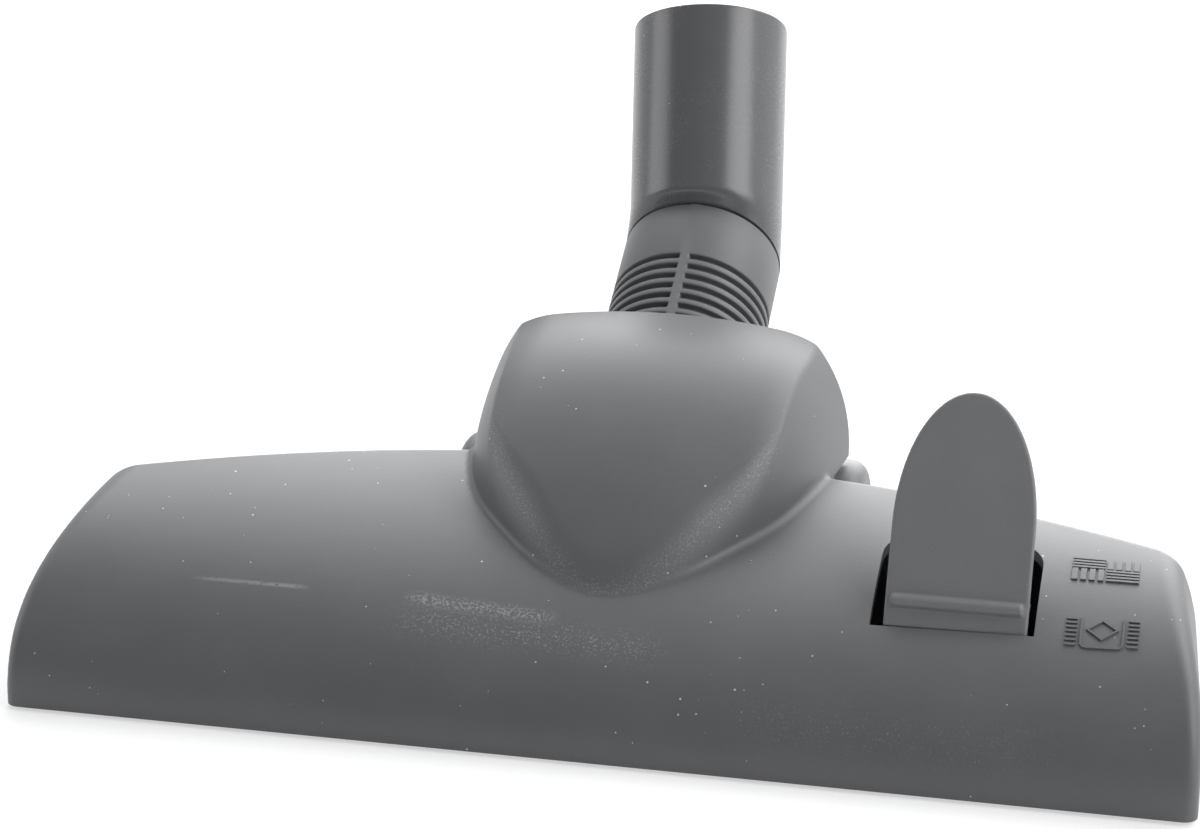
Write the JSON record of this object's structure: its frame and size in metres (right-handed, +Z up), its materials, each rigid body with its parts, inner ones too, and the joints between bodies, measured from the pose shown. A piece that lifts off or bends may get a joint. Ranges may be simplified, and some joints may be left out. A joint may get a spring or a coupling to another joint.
{
  "type": "vacuum floor brush head",
  "caption": "Switchable floor head with a domed cover, a rocker pedal that lowers two brush strips, rear wheels, and a tilting ribbed neck with a swivelling connection tube.",
  "frame": {"origin": "point of the sole plate's lower face in the middle of the head's length, on the land between the suction channel and the rear lint strip", "axes": "+X along the head to its pedal end, +Y from the front edge to the tube, +Z up"},
  "size_m": [0.2748, 0.2041, 0.1326],
  "materials": {
    "cover_plastic": "fine textured moulding",
    "chassis_plastic": "plain moulding",
    "sole_steel": "brushed sheet",
    "lint_pile": "short slanted pile",
    "screw_steel": "zinc plated",
    "neck_plastic": "satin moulding",
    "ring_plastic": "natural moulding",
    "seal_felt": "felt",
    "tube_plastic": "satin moulding",
    "pedal_plastic": "fine textured moulding",
    "pin_steel": "drawn",
    "frame_plastic": "plain moulding",
    "bristle": "tufts of synthetic hair",
    "wheel_plastic": "plain moulding",
    "spring_steel": "drawn"
  },
  "bodies": {
    "head": {"upper_cover": "cover_plastic", "chassis": "chassis_plastic", "sole_plate": "sole_steel", "front_lint_strip": "lint_pile", "rear_lint_strip": "lint_pile", "cover_screws": "screw_steel", "pedal_pin": "pin_steel", "right_wheel_axle": "pin_steel", "left_wheel_axle": "pin_steel", "right_pivot_pin": "pin_steel", "left_pivot_pin": "pin_steel", "right_lift_spring": "spring_steel", "left_lift_spring": "spring_steel", "pedal_spring": "spring_steel"},
    "neck": {"neck_elbow": "neck_plastic", "neck_snap_ring": "ring_plastic", "neck_seal": "seal_felt"},
    "tube": {"connection_tube": "tube_plastic"},
    "pedal": {"rocker_pedal": "pedal_plastic", "lift_pin": "pin_steel"},
    "brush": {"brush_carrier": "frame_plastic", "front_bristle_strip": "bristle", "rear_bristle_strip": "bristle"},
    "right_wheel": {"right_wheel": "wheel_plastic"},
    "left_wheel": {"left_wheel": "wheel_plastic"}
  },
  "joints": [
    {"name": "neck_tilt", "type": "hinge", "parent": "head", "child": "neck", "pos_m": [0, 0.047, 0.03685], "axis": [1, 0, 0], "range_deg": [-32, 3]},
    {"name": "tube_swivel", "type": "hinge", "parent": "neck", "child": "tube", "pos_m": [0, 0.11395, 0.06907], "axis": [0, 0.9011, 0.4337], "continuous": true},
    {"name": "pedal_rock", "type": "hinge", "parent": "head", "child": "pedal", "pos_m": [0.0801, 0.0005, 0.02703], "axis": [-1, 0, 0], "range_deg": [0, 28]},
    {"name": "brush_lift", "type": "slide", "parent": "head", "child": "brush", "axis": [0, 0, -1], "range_m": [0, 0.0075], "deforming": ["right_lift_spring", "left_lift_spring"]},
    {"name": "right_wheel_spin", "type": "hinge", "parent": "head", "child": "right_wheel", "pos_m": [0.046, 0.0595, 0.0192], "axis": [1, 0, 0], "continuous": true},
    {"name": "left_wheel_spin", "type": "hinge", "parent": "head", "child": "left_wheel", "pos_m": [-0.046, 0.0595, 0.0192], "axis": [1, 0, 0], "continuous": true}
  ],
  "couplings": [
    {"joint": "brush_lift", "follows": "pedal_rock", "m_per_rad": 0.01534}
  ]
}
